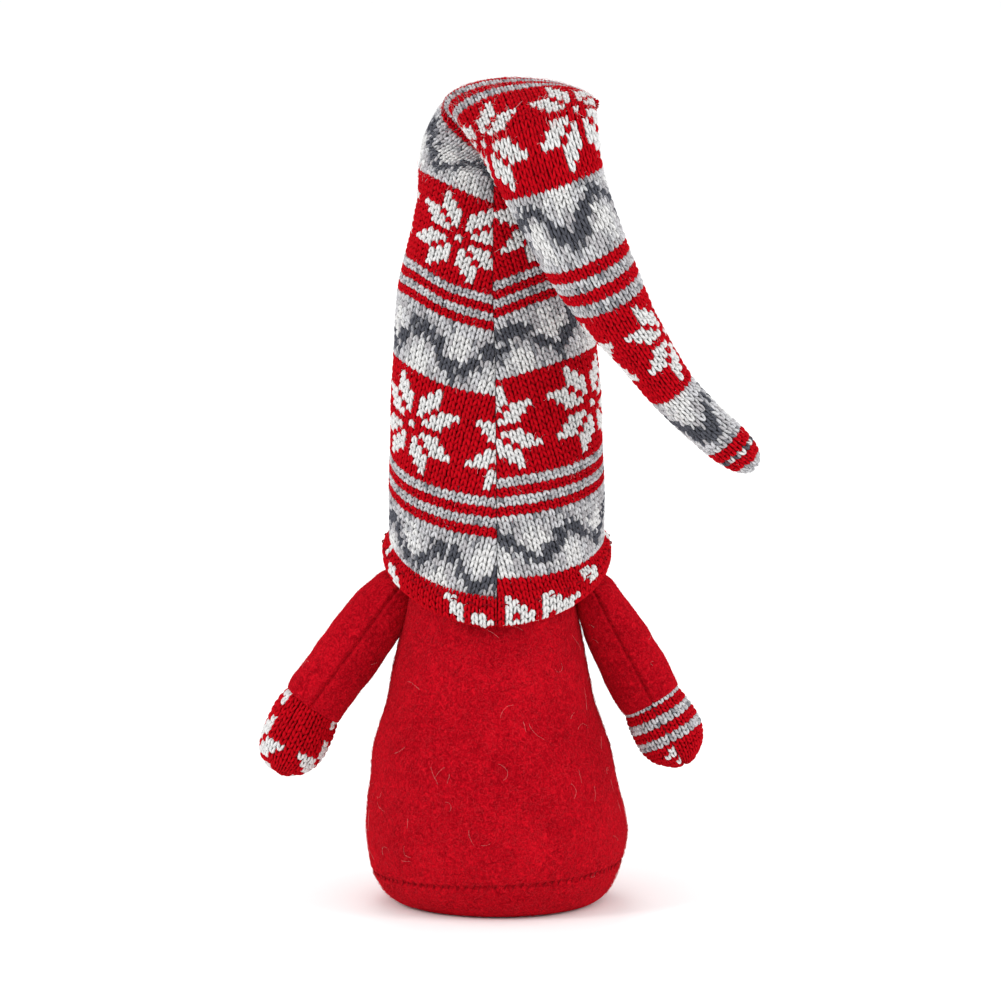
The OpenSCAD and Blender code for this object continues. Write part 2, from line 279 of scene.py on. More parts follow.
class Tube:
    # smooth closed tube through rings of points, read by distance along and share around
    def __init__(self, rings, places, along=360, around=240, wobble=None):
        even = []
        for r in np.asarray(rings, float):
            loop = np.vstack([r, r[:1]])
            d = np.concatenate([[0], np.cumsum(np.linalg.norm(np.diff(loop, axis=0), axis=1))])
            q = np.linspace(0, d[-1], around + 1)
            even.append(np.stack([np.interp(q, d, loop[:, k]) for k in range(3)], 1))
        self.grid = smoothRows(even, along)
        self.places = np.interp(np.linspace(0, len(rings) - 1, along), np.arange(len(rings)), places)
        self.around = around
        self.measure()
        if wobble is not None:
            f = np.arange(around + 1) / around
            s = self.places
            self.grid = self.grid + self.normals * wobble(s[:, None], f[None, :])[..., None]
            self.measure()

    def measure(self):
        g = self.grid
        df = np.roll(g[:, :-1], -1, 1) - np.roll(g[:, :-1], 1, 1)
        df = np.concatenate([df, df[:, :1]], 1)
        ds = np.gradient(g, axis=0)
        self.normals = unit(np.cross(df, ds))
        self.lengths = np.linalg.norm(np.diff(g, axis=1), axis=2).sum(1)

    def read(self, grid, s, f):
        k = np.interp(s, self.places, np.arange(len(self.places)))
        k0 = np.clip(k.astype(int), 0, len(self.places) - 2)
        tk = (k - k0)[:, None]
        j = (f % 1.0) * self.around
        j0 = np.clip(j.astype(int), 0, self.around - 1)
        tj = (j - j0)[:, None]
        low = grid[k0, j0] * (1 - tj) + grid[k0, j0 + 1] * tj
        high = grid[k0 + 1, j0] * (1 - tj) + grid[k0 + 1, j0 + 1] * tj
        return low * (1 - tk) + high * tk

    def point(self, s, f, out=0.0):
        p = self.read(self.grid, s, f)
        n = unit(self.read(self.normals, s, f))
        return p + n * np.reshape(out, (-1, 1))

    def girth(self, s):
        return np.interp(s, self.places, self.lengths)

    def shell(self, name, mats, out=0.0, low=None, high=None, along=200, around=240):
        low = self.places[0] if low is None else low
        high = self.places[-1] if high is None else high
        s, f = np.meshgrid(np.linspace(low, high, along), np.arange(around) / around, indexing="ij")
        p = self.point(s.ravel(), f.ravel(), np.full(s.size, float(out)))
        i, j = np.meshgrid(np.arange(along - 1), np.arange(around), indexing="ij")
        a = (i * around + j).ravel()
        b = (i * around + (j + 1) % around).ravel()
        polys = [np.stack([a, b, b + around, a + around], 1)]
        n, j, top = len(p), np.arange(around), (along - 1) * around
        p = np.vstack([p, [p[:around].mean(0), p[-around:].mean(0)]])  # a point closes each end
        polys.append(np.stack([(j + 1) % around, j, np.full(around, n)], 1))
        polys.append(np.stack([top + j, top + (j + 1) % around, np.full(around, n + 1)], 1))
        return meshFrom(name, p, polys, mats)


def wave(seed, count=7, low=0.01, high=0.05, turns=4):
    # soft unevenness over a tube, from a few seeded waves
    r = np.random.default_rng(seed)
    k = r.uniform(low, high, count) * r.choice([-1, 1], count)
    m = r.integers(1, turns + 1, count)
    ph = r.uniform(0, 2 * math.pi, count)
    def lift(s, f):
        total = 0
        for i in range(count):
            total = total + np.sin(2 * math.pi * (k[i] * s + m[i] * f) + ph[i])
        return total / count
    return lift


# yarns and cloths
wool = {
    "R": ((0.50, 0.0015, 0.008), 0.3),
    "L": ((0.47, 0.455, 0.47), 0.5),
    "V": ((0.60, 0.60, 0.61), 0.4),
    "W": ((0.80, 0.79, 0.77), 0.18),
    "D": ((0.085, 0.088, 0.105), 0.5),
    "M": ((0.21, 0.212, 0.235), 0.5),
}
yarns = {}
for key, (tone, heather) in wool.items():
    fleck = (0.6, 0.6, 0.62) if key in "LM" else None
    yarns[key] = yarn("yarn" + key, tone, heather, fleck=fleck)
    yarns[key.lower()] = yarn("yarnDeep" + key, shadeOf(tone, 0.30), heather)  # painted shade: a dark copy of each yarn for the gaps behind the stitches
yarnOrder = list(yarns)
redFelt = felt("redFelt", (0.50, 0.003, 0.011), 0.5)
redThread = yarn("redThread", (0.25, 0.003, 0.008), 0.2)
print("materials made")


# knitting
starQuarter = ["W......", "..WWW..", ".W.WWW.", ".WW.WWW", ".WWW...", "..WW...", "...W..."]
diamondRows = [
    "LLLLLLLLLL",
    "VLLLLLLLLV",
    "WVLLDDDLLV",
    "WWLDDDDDLW",
    "WWLDDLDDLW",
    "WLDDLVLDDL",
    "LDDLVWVLDD",
    "DDLLWWWLLD",
    "DLLVWWWVLL",
    "LLLLWWWLLL",
]
stripeRows = "RRLLRRLL"


def starAt(dx, dy):
    dx, dy = abs(dx), abs(dy)
    return "W" if dx < 7 and dy < 7 and starQuarter[dy][dx] == "W" else "R"


def bandColour(kind, col, row):
    if kind == "star":
        return starAt(col % 15 - 7, row - 7)
    if kind == "diamond":
        # the motif spreads by a column on each side of the face
        return diamondRows[9 - row][(col + 5 - round(min(1, max(-1, col / 16)))) % 10]
    if kind == "peak diamond":
        return diamondRows[9 - row][(col + 7) % 10]
    if kind[row % len(kind)] == "X":
        return "W" if col % 2 else "D"
    if kind == "stripes":
        return stripeRows[row]
    return kind[row % len(kind)]


# spun yarn is never one shade: what each dyed yarn shows in a single leg of a stitch
shades = {"L": "LLLLLVVM", "D": "DDDDDDDM", "W": "WWWWWWWV", "V": "VVLW", "M": "MMLD", "R": "R"}


def legColours(kind, col, row):
    # in the grey bands neighbouring yarns run into each other
    pair = []
    for side in (-1, 1):
        here = bandColour(kind, col, row)
        if "diamond" in kind and rng.random() < 0.3:
            here = bandColour(kind, col + side, row)
        if "diamond" in kind and rng.random() < 0.12:
            here = bandColour(kind, col, min(9, max(0, row + side)))
        if kind != "star":
            here = shades[here][int(rng.integers(len(shades[here])))]
        pair.append(here)
    return "".join(pair)


legShape = {
    "x": np.array([0.03, 0.13, 0.205, 0.265, 0.315, 0.325]),
    "y": np.array([0.70, 0.45, 0.14, -0.18, -0.50, -0.78]),
    "z": np.array([-0.65, 0.40, 0.85, 0.80, 0.30, -0.75]),
    "r": np.array([0.45, 0.92, 1.06, 1.04, 0.88, 0.45]),
    "sides": 6,
    "thick": 0.60,
}


def cornersOf(lengths, ring, i, j):
    # a strand's own coordinates at the four corners of each of its faces
    steps = ((0, 0), (0, 1), (1, 1), (1, 0))
    return np.stack([np.stack([lengths[i + a], ring[j + b]], 1) for a, b in steps], 1).reshape(-1, 2)


def knit(name, tube, cells, toTube, wale):
    # cells: column centre, row centre, row height and yarns of each stitch
    # toTube: from a place in the cloth to distance along, share around and depth
    n = len(cells)
    col = np.array([c[0] for c in cells], float)
    row = np.array([c[1] for c in cells], float)
    high = np.array([c[2] for c in cells], float)
    letter = [c[3] for c in cells]
    letter = [ch if len(ch) == 2 else ch + ch for ch in letter]
    thick, sides = legShape["thick"], legShape["sides"]
    nr = len(legShape["x"])
    jx = rng.normal(0, 0.07, n)
    jy = rng.normal(0, 0.10, n)
    fat = np.clip(rng.normal(1.0, 0.09, (n, 2)), 0.78, 1.28)
    lean = rng.normal(0, 0.07, (n, 2))
    verts = []
    phi = 2 * math.pi * np.arange(sides) / sides
    for leg, side in enumerate((-1, 1)):
        cx = side * legShape["x"][None, :] * wale + jx[:, None]
        cx = cx + lean[:, leg, None] * legShape["y"][None, :] * high[:, None]
        cy = legShape["y"][None, :] * high[:, None] + jy[:, None]
        cz = legShape["z"][None, :] * thick * np.ones((n, 1))
        rad = legShape["r"][None, :] * thick * fat[:, leg, None]
        x = cx[..., None] + rad[..., None] * np.cos(phi)
        z = cz[..., None] + rad[..., None] * np.sin(phi)
        y = np.repeat(cy[..., None], sides, 2)
        verts.append(np.stack([x + col[:, None, None], y + row[:, None, None], z], -1).reshape(n, nr * sides, 3))
    flat = np.stack(verts, 1).reshape(-1, 3)
    s, f, extra = toTube(flat[:, 0], flat[:, 1])
    solid = tube.point(s, f, flat[:, 2] + extra)
    perLeg = nr * sides
    i, j = np.meshgrid(np.arange(nr - 1), np.arange(sides), indexing="ij")
    a = (i * sides + j).ravel()
    b = (i * sides + (j + 1) % sides).ravel()
    quadsLeg = np.stack([a, b, b + sides, a + sides], 1)
    base = (np.arange(2 * n) * perLeg)[:, None, None]
    quads = (base + quadsLeg[None]).reshape(-1, 4)
    capsLeg = np.stack([np.arange(sides)[::-1], (nr - 1) * sides + np.arange(sides)])
    caps = (base + capsLeg[None]).reshape(-1, sides)
    legMat = np.array([yarnOrder.index(one) for ch in letter for one in ch])
    matIndex = [np.repeat(legMat, len(quadsLeg)), np.repeat(legMat, 2)]
    lengths = np.linspace(0, 1, nr)
    ring = np.arange(sides + 1) / sides
    unitUv = cornersOf(lengths, ring, i.ravel(), j.ravel())
    capUv = np.concatenate([np.stack([np.zeros(sides), ring[:-1]], 1), np.stack([np.ones(sides), ring[:-1]], 1)])
    legLen = np.repeat(high, 2) * 1.35
    legTurn = rng.uniform(0, 1, 2 * n)
    q = np.repeat(unitUv[None], 2 * n, 0)
    qc = np.repeat(capUv[None], 2 * n, 0)
    def strandOf(block):
        out = block.copy()
        out[..., 0] = block[..., 0] * legLen[:, None] + legTurn[:, None] * 9
        return out.reshape(-1, 2)
    grid = int(math.ceil(math.sqrt(2 * n / 2.2))) or 1
    wide = int(math.ceil(2 * n / grid))
    slotX = (np.arange(2 * n) % wide) / wide
    slotY = (np.arange(2 * n) // wide) / grid
    def bakeOf(block):
        out = np.empty_like(block)
        out[..., 0] = slotX[:, None] + (0.04 + 0.92 * block[..., 1]) / wide
        out[..., 1] = slotY[:, None] + (0.04 + 0.92 * block[..., 0]) / grid
        return out.reshape(-1, 2)
    hashUv = np.repeat(rng.uniform(0, 40, (n, 2)), 2, 0)
    def stitchOf(block):
        return np.repeat(hashUv, block.shape[1], 0)
    polys = [quads, caps]
    strandUv = [strandOf(q), strandOf(qc)]
    bakeUv = [bakeOf(q), bakeOf(qc)]
    stitchUv = [stitchOf(q), stitchOf(qc)]
    # painted shade: a dark sheet behind each stitch, in a shaded copy of its yarn
    corner = np.array([[-0.5, -0.5], [0.5, -0.5], [0.5, 0.5], [-0.5, 0.5]])
    bx = col[:, None] + corner[None, :, 0] * wale
    by = row[:, None] + corner[None, :, 1] * high[:, None]
    s, f, extra = toTube(bx.ravel(), by.ravel())
    back = tube.point(s, f, extra - 0.25)
    polys.append(len(solid) + np.arange(4 * n).reshape(n, 4))
    deep = np.array([yarnOrder.index(ch[0].lower()) for ch in letter])
    matIndex.append(deep)
    one = np.array([[0, 0], [0, 1], [1, 1], [1, 0]], float)
    strandUv.append((one[None] + rng.uniform(0, 9, (n, 1, 2))).reshape(-1, 2))
    stitchUv.append(np.repeat(hashUv[::2], 4, 0))
    tiny = np.zeros((n, 4, 2)) + one[None] * 0.002 / grid
    tiny[..., 0] += slotX[::2, None][:n]
    tiny[..., 1] += slotY[::2, None][:n]
    bakeUv.append(tiny.reshape(-1, 2))
    used = sorted(set(np.concatenate(matIndex).tolist()))
    remap = np.zeros(len(yarnOrder), int)
    remap[used] = np.arange(len(used))
    return meshFrom(
        name, np.concatenate([solid, back]), polys, [yarns[yarnOrder[k]] for k in used],
        remap[np.concatenate(matIndex)],
        {"OFBake": np.concatenate(bakeUv), "strand": np.concatenate(strandUv), "stitch": np.concatenate(stitchUv)},
    )


def strands(name, paths, radii, mats, matOf=None, sides=3):
    # thin tapered fibres, one for each path of points
    paths = np.asarray(paths, float)
    n, k, _ = paths.shape
    radii = np.broadcast_to(np.asarray(radii, float), (n, k))
    tangent = unit(np.gradient(paths, axis=1))
    ref = np.where(np.abs(tangent[..., 2:3]) > 0.9, np.array([1.0, 0, 0]), np.array([0, 0, 1.0]))
    u = unit(np.cross(tangent, ref))
    v = np.cross(tangent, u)
    phi = 2 * math.pi * np.arange(sides) / sides
    cosine, sine = np.cos(phi)[None, None, :, None], np.sin(phi)[None, None, :, None]
    verts = (paths[:, :, None] + radii[..., None, None] * (cosine * u[:, :, None] + sine * v[:, :, None]))
    i, j = np.meshgrid(np.arange(k - 1), np.arange(sides), indexing="ij")
    a = (i * sides + j).ravel()
    b = (i * sides + (j + 1) % sides).ravel()
    quads = np.stack([a, b, b + sides, a + sides], 1)
    polys = ((np.arange(n) * k * sides)[:, None, None] + quads[None]).reshape(-1, 4)
    lengths, ring = np.linspace(0, 1, k), np.arange(sides + 1) / sides
    corners = cornersOf(lengths, ring, i.ravel(), j.ravel())
    block = np.repeat(corners[None], n, 0)
    strandUv = block.copy()
    strandUv[..., 1] += rng.uniform(0, 9, (n, 1))
    hashUv = np.repeat(rng.uniform(0, 40, (n, 1, 2)), block.shape[1], 1)
    grid = max(1, int(math.sqrt(n * 0.2)))
    wide = int(math.ceil(n / grid))
    bake = np.empty_like(block)
    bake[..., 0] = ((np.arange(n) % wide) / wide)[:, None] + (0.05 + 0.9 * block[..., 1]) / wide
    bake[..., 1] = ((np.arange(n) // wide) / grid)[:, None] + (0.05 + 0.9 * block[..., 0]) / grid
    index = None if matOf is None else np.repeat(matOf, len(quads))
    uvs = {"OFBake": bake, "strand": strandUv, "stitch": hashUv}
    return meshFrom(name, verts.reshape(-1, 3), [polys], mats, index, uvs)


# hat shape
hat = {
    "flatRadius": 456.0,
    "flatAngle": 0.55,
    "wale": 2.96,
    "sideShift": 4.0,
    "slant": 0.034,
    "rows": [
        (110, 40.3, 39.8, 0.0), (130, 40.5, 36.2, 0.0), (148, 40.4, 32.6, 0.0), (166, 40.2, 29.6, 0.2),
        (190, 39.1, 26.6, 0.4), (209, 38.2, 24.4, 0.6), (224, 36.6, 23.4, 1.1), (238, 34.5, 23.2, 1.5),
        (256, 30.6, 24.2, 1.5), (268, 28.4, 23.8, 1.4), (279, 27.7, 23.3, 1.2),
    ],
    "placeUp": [(0, 0), (0.24, 41), (0.537, 92), (0.761, 133), (0.97, 170), (1.0, 176)],
    "fold": [
        ((-0.3, 3, 289), -20, 27.3, 20.5, 184), ((-3.5, 8.5, 296.5), -45, 27.2, 16, 193),
        ((-6.5, 13, 301.5), -70, 27.4, 12, 200), ((-8.6, 16, 304), -90, 27.5, 9.5, 206),
    ],
    "peak": [
        ((-12, 25, 300.5), -118, 25.8, 10, 221), ((-16, 33, 291.5), -150, 22.3, 10.6, 238),
        ((-20.5, 37.2, 279.5), -170, 19.8, 11.2, 256), ((-25, 38.7, 268.5), -180, 18.2, 11.6, 271),
        ((-31, 39.2, 255), -180, 16.6, 12, 283.5), ((-37, 39, 243), -180, 15, 12.2, 295),
        ((-46, 38.4, 227), -180, 12.9, 11.6, 311), ((-52, 37.6, 218.5), -180, 11.4, 10.8, 321),
        ((-58.5, 37, 209), -180, 10, 9.8, 332), ((-66, 36, 199), -180, 8.9, 8.8, 343),
        ((-76, 34.6, 188.5), -180, 8.5, 8.5, 355.5), ((-85.5, 33.2, 180), -180, 8.1, 8.2, 367.5),
        ((-91.5, 32.3, 174.8), -180, 6.6, 6.6, 375), ((-95.2, 31.8, 171.6), -180, 3.9, 3.9, 380.5),
        ((-96.6, 31.5, 170.4), -180, 0.8, 0.8, 384),
    ],
    "hemHeight": 10.0,
    "bands": [
        ("R" * 15, 2.5), ("diamond", 2.32), ("stripes", 1.78), ("star", 2.48), ("diamond", 2.55), ("stripes", 1.8),
        ("star", 2.5), ("diamond", 2.5), ("stripes", 1.95), ("star", 2.55), ("peak diamond", 2.5), ("stripes", 1.95),
        ("star", 2.55), ("peak diamond", 2.5), ("RRXRRLLLLL", 2.3),
    ],
    "firstRow": -4.5,
    "sagPlaces": [0, 60, 120, 200],
    "sagShares": [0.24, 0.32, 0.41, 0.5],
    "sagLeft": [[17.4, 14.3, 8.8, 3.3], [14.2, 12.0, 7.6, 3.0], [7.9, 4.8, 5.5, 4.7], [6.3, 5.9, 6.9, 8.9]],
    "sagRight": [[19.2, 15.5, 8.8, 1.6], [14.4, 11.2, 6.8, 3.6], [8.4, 5.0, 4.0, 5.5], [7.2, 6.2, 6.1, 6.8]],
    "peakPlaces": [212, 230, 262, 285, 305, 345, 372],
    "peakSag": [12.0, 13.5, 2.5, 0.3, -0.4, 0.2, 1.3],
    "peakSkew": [-21.7, -11.1, 0.5, -0.2, 2.0, 1.2, 4.5],
    "peakTwist": 1.5,
    "sunk": 0.9,
    "start": 9.8,
    "end": 383,
}
bandCount = {"star": 15, "diamond": 10, "peak diamond": 10, "stripes": 8}


def hemZ(t):
    return 127 - 10.2 * np.sin(t) - 6.2 * np.sin(t) ** 2


def hatSize(z):
    table = np.array(hat["rows"], float)
    fine = smoothRows(table, 200)
    return [np.interp(z, fine[:, 0], fine[:, k]) for k in (1, 2, 3)]


def hatLowRing(u, drop=0.0, count=240):
    t = ringAngles(count)
    low = hemZ(t)
    z = low + (279 - low) * u + drop
    a, b, cx = hatSize(z)
    return np.stack([cx + a * np.cos(t), b * np.sin(t), z], 1)


def hatRings():
    rings, places = [], []
    for u in np.linspace(0, 1, 25):
        rings.append(hatLowRing(u))
        places.append(np.interp(u, *np.array(hat["placeUp"]).T))
    turned = hat["fold"] + hat["peak"]
    centres = np.array([r[0] for r in turned], float)
    for k, (centre, turn, a, b, place) in enumerate(turned):
        ang = math.radians(turn)
        if k < len(hat["fold"]):
            way = np.array([0, -math.sin(ang), math.cos(ang)])
        else:
            way = unit(centres[min(k + 1, len(centres) - 1)] - centres[k - 1])
        rings.append(ringAt(centre, way, np.array([0, math.cos(ang), math.sin(ang)]), a, b, 240))
        places.append(place)
    return rings, places


def hatWobble(s, f):
    soft = wave(3, 9, 0.006, 0.03, 5)(s, f) * 0.9
    crease = -2.2 * np.exp(-(((s - 232) / 9) ** 2)) * np.exp(-(((f - 0.22) / 0.05) ** 2))
    fade = 1 - 0.7 * np.exp(-((s - 206) / 12) ** 2)
    return soft * fade + crease


rings, places = hatRings()
hatTube = Tube(rings, places, along=520, around=320, wobble=hatWobble)


def sagTable(rows):
    # four rows of measured slip smoothed to a fine table
    wide = smoothRows(np.array(rows, float), 40)
    return smoothRows(wide.T, 40).T


sagTables = {1: sagTable(hat["sagLeft"]), -1: sagTable(hat["sagRight"])}


def readSag(side, s, share):
    i = np.interp(s, hat["sagPlaces"], [0, 13, 26, 39])
    j = np.interp(share, hat["sagShares"], [0, 13, 26, 39])
    i0, j0 = np.clip(i.astype(int), 0, 38), np.clip(j.astype(int), 0, 38)
    ti, tj = i - i0, j - j0
    t = sagTables[side]
    below = t[i0, j0] * (1 - tj) + t[i0, j0 + 1] * tj
    above = t[i0 + 1, j0] * (1 - tj) + t[i0 + 1, j0 + 1] * tj
    return below * (1 - ti) + above * ti


def sag(s, share):
    # how far the rows have slipped down the cloth: most at the sides, least at the seam
    left = readSag(1, s, np.maximum(share, 0.24))
    right = readSag(-1, s, np.maximum(-share, 0.24))
    blend = np.clip((share + 0.24) / 0.48, 0, 1)
    low = right * (1 - blend) + left * blend
    high = np.interp(s, hat["peakPlaces"], hat["peakSag"])
    high = high + np.interp(s, hat["peakPlaces"], hat["peakSkew"]) * np.clip(share, -0.25, 0.25)
    t = np.clip((s - 198) / 14, 0, 1)
    return low * (1 - t) + high * t


def clothPlace(x, y):
    # columns and rows are straight in the flat cloth and slant once it is sewn to a cone
    xh = x + hat["sideShift"]
    yh = y - hat["slant"] * xh
    drop, twist = 0.0, 0.0
    for step in range(12):
        side, up = xh + twist, hat["flatRadius"] - (yh - drop)
        s = hat["flatRadius"] - np.hypot(side, up)
        share = np.arctan2(side, up) / hat["flatAngle"]
        drop = 0.4 * drop + 0.6 * sag(s, np.clip(share, -0.5, 0.5))
        t = np.clip((s - 262) / 55, 0, 1)
        twist = hat["peakTwist"] * t * t * (3 - 2 * t)
    return s, share


def hatPlace(x, y):
    s, share = clothPlace(x, y)
    girth = hatTube.girth(s)
    over = np.maximum(0, np.abs(share) - 0.5) * girth
    near = np.maximum(0, 0.5 - np.abs(share)) * girth
    dip = -hat["sunk"] - 0.75 * np.exp(-((near / 1.3) ** 2)) - over * 0.9
    dip = dip - 0.9 * np.exp(-(((s - hat["hemHeight"] - 0.6) / 1.2) ** 2))
    return s, np.clip(share, -0.4995, 0.4995) % 1.0, dip


def hatCells():
    # every stitch of the hat as column, row, height, yarns and its distance up the hat
    cells = []
    y = hat["firstRow"]
    wale = hat["wale"]
    for kind, pitch in hat["bands"]:
        rows = bandCount.get(kind, len(kind))
        for r in range(rows):
            cols = np.arange(-50, 50)
            xc = (cols + 0.5) * wale
            yc = np.full(len(xc), y + (r + 0.5) * pitch)
            s, share = clothPlace(xc, yc)
            edge = 0.5 + 0.45 * wale / (hat["flatAngle"] * np.maximum(hat["flatRadius"] - s, 60))
            for c, x, one in zip(cols, xc, s):
                if abs(share[c + 50]) < edge[c + 50] and hat["start"] <= one < hat["end"]:
                    cells.append((x, yc[0], pitch, legColours(kind, int(c), r), one))
        y += rows * pitch
    return cells


hatParts = [
    ("hatKnitHem", 9.8, 34, "torso"), ("hatKnitLow", 34, 58, "torso"), ("hatKnitMid", 58, 82, "torso"),
    ("hatKnitHigh", 82, 106, "torso"), ("hatKnitUpper", 106, 132, "torso"), ("hatKnitShoulder", 132, 165, "torso"),
    ("hatKnitTop", 165, 200, "torso"), ("foldKnit", 200, 236, "fold"),
    ("peakKnitFlap", 236, 292, "peak"), ("peakKnitEnd", 292, 383, "peak"),
]
# painted shade: a near-black yarn for the shells under the knitting, seen through the gaps between the stitches
deepGrey = yarn("deepGrey", (0.05, 0.05, 0.058), 0.3)


def seat(obj, body):
    if body == "fold":
        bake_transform(obj)
    else:
        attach(obj, body)


allCells = hatCells()
for name, low, high, body in hatParts:
    seat(knit(name, hatTube, [c[:4] for c in allCells if low <= c[4] < high], hatPlace, hat["wale"]), body)
print("hat knitted")

# shells in painted shade under the hat's knitting
hatUnder = hatTube.shell("hatUnderCloth", [deepGrey], out=-2.0, low=2, high=186, along=160)
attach(hatUnder, "torso")
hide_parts("hat_panel", "hat_stuffing", "hat_seam")
peakUnder = hatTube.shell("peakUnderCloth", [deepGrey], out=-2.0, low=246, high=381, along=140)
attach(peakUnder, "peak")
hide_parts("hat_tail", "tail_stuffing")

# turned hem: the same cloth rolled out over the lower edge and up inside
hem = {
    "roll": [
        (-1.7, 11.2), (0.0, 10.2), (1.2, 8.0), (1.5, 5.4), (1.2, 3.0),
        (0.0, 1.4), (-1.8, 1.2), (-3.4, 2.8), (-3.8, 8.0),
    ],
    "radius": 448.0,
    "girth": 252.0,
    "top": 12.0,
    "rows": 9,
    "rowHeight": 2.3,
    "figure": 15,
}
hemPath = np.array(hem["roll"])
hemPlaces = -np.concatenate([[0], np.cumsum(np.linalg.norm(np.diff(hemPath, axis=0), axis=1))])
hemRings = []
for out, up in hemPath:
    t = ringAngles(240)
    z = hemZ(t) + up
    a, b, cx = hatSize(np.maximum(z, 111))
    hemRings.append(np.stack([cx + (a + out) * np.cos(t), (b + out) * np.sin(t), z], 1))


def hemWobble(s, f):
    return wave(11, 8, 0.01, 0.05, 9)(s, f) * 0.5


hemTube = Tube(hemRings[::-1], hemPlaces[::-1] + hem["top"], along=90, around=320, wobble=hemWobble)


def hemPlace(x, y):
    share = np.arctan2(x + hat["sideShift"], hem["radius"]) / hat["flatAngle"]
    near = np.maximum(0, 0.5 - np.abs(share)) * hem["girth"]
    over = np.maximum(0, np.abs(share) - 0.5) * hem["girth"]
    dip = -0.8 * np.exp(-((near / 1.4) ** 2)) - over * 0.9
    return y, np.clip(share, -0.4995, 0.4995) % 1.0, dip


# white rows in each column of the hem, counted down from its top
hemWhite = {
    34: (1,), 35: (1, 2, 3), 36: (2, 3, 4), 38: (3, 4), 39: (3, 4, 5), 40: (4,),
    -43: (0, 1, 2, 3, 4), -42: (1, 2, 4), -41: (2, 3, 4), -40: (3, 4), -38: (1, 2, 3, 4), -37: (1, 2, 3),
    -36: (2, 3, 4), -35: (3, 4), -34: (3, 4), -33: (3,), -31: (0, 1), -30: (0, 1, 2), -29: (1, 2),
    23: (2, 3), 24: (2, 3, 4), 25: (3, 4),
}
hemCells = []
for r in range(hem["rows"]):
    for c in range(-44, 44):
        x = (c + 0.5) * hat["wale"]
        if abs(math.atan2(x + hat["sideShift"], hem["radius"]) / hat["flatAngle"]) < 0.506:
            figure = c if abs(c) > 21 else -43 + (c + 21) % hem["figure"]  # the front repeats one figure
            yarnOf = "W" if r in hemWhite.get(figure, ()) else "R"
            hemCells.append((x, hem["top"] - (r + 0.5) * hem["rowHeight"], hem["rowHeight"], yarnOf))
hemKnit = knit("hemKnit", hemTube, hemCells, hemPlace, hat["wale"])
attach(hemKnit, "torso")
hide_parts("hat_hem")
print("hem turned")

# felt body
bell = {
    "profile": [
        (0.6, 1.1), (20, 0.4), (34, 0.25), (38.5, 0.9), (41.6, 3.2), (44.6, 7.6), (46.6, 11.6), (47.4, 13.6),
        (48.0, 16.5), (48.9, 22), (49.2, 28), (48.3, 36), (46.3, 46), (43.4, 58), (40.1, 67), (37.3, 76), (34.9, 90),
        (33.1, 104), (31.1, 118), (29.1, 127), (26.0, 140), (20.5, 149), (12, 154.5), (1, 156.6),
    ],
    "seam": 7,
    "pucker": 0.5,
    "lean": 2.4,  # towards the left arm
    "fuller": 1.4,
    "stitches": 96,
    "naps": 8000,
    "strays": 90,
}
bellRings, bellPlaces = [], [0]
for k, (r, z) in enumerate(bell["profile"]):
    t = ringAngles(240)
    tilt = 0.045 * max(0.0, 1 - abs(z - 13.6) / 13) * r
    lean = bell["lean"] * float(np.interp(z, [30, 62, 120, 150], [0, 1, 1, 0]))
    r = r + bell["fuller"] * float(np.interp(z, [45, 62, 90, 120], [0, 1, 1, 0]))
    up = np.maximum(z - tilt * np.cos(t) * (z > 2), 0.2)
    bellRings.append(np.stack([lean + r * np.cos(t), r * np.sin(t), up], 1))
    if k:
        last = bell["profile"][k - 1]
        bellPlaces.append(bellPlaces[-1] + math.hypot(r - last[0], z - last[1]))
seamPlace = bellPlaces[bell["seam"]]


def bellWobble(s, f):
    soft = wave(21, 10, 0.004, 0.02, 5)(s, f) * 0.9 + wave(22, 10, 0.02, 0.07, 14)(s, f) * 0.28
    low = s < bellPlaces[3]
    seam = -1.0 * np.exp(-(((s - seamPlace) / 0.9) ** 2))
    folds = np.abs(np.sin(2 * math.pi * 34 * f + 2 * np.sin(9 * f * math.pi))) ** 3
    pucker = -bell["pucker"] * folds * np.exp(-(((s - seamPlace) / 5.5) ** 2))
    return np.where(low, 0.0, soft + seam + pucker)


bellTube = Tube(bellRings, bellPlaces, along=310, around=310, wobble=bellWobble)
bellFelt = bellTube.shell("bellFelt", [redFelt], along=310, around=310, low=bellPlaces[0], high=bellPlaces[-1])
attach(bellFelt, "torso")
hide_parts("body_felt", "base_felt", "base_card", "pellet_bag", "body_stuffing")

# overcast stitches across the base seam
paths = []
for k in range(bell["stitches"]):
    f = (k + rng.uniform(-0.15, 0.15)) / bell["stitches"]
    s = seamPlace + np.array([-1.5, -0.9, 0.0, 0.9, 1.5])
    ff = f + np.array([-0.0018, -0.0012, 0, 0.0012, 0.0018])
    paths.append(bellTube.point(s, ff, np.array([-0.15, 0.15, 0.45, 0.15, -0.15])))
baseSeam = strands("baseSeamStitches", paths, np.full((len(paths), 5), 0.17), [redThread], sides=5)
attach(baseSeam, "torso")
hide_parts("base_seam_thread")


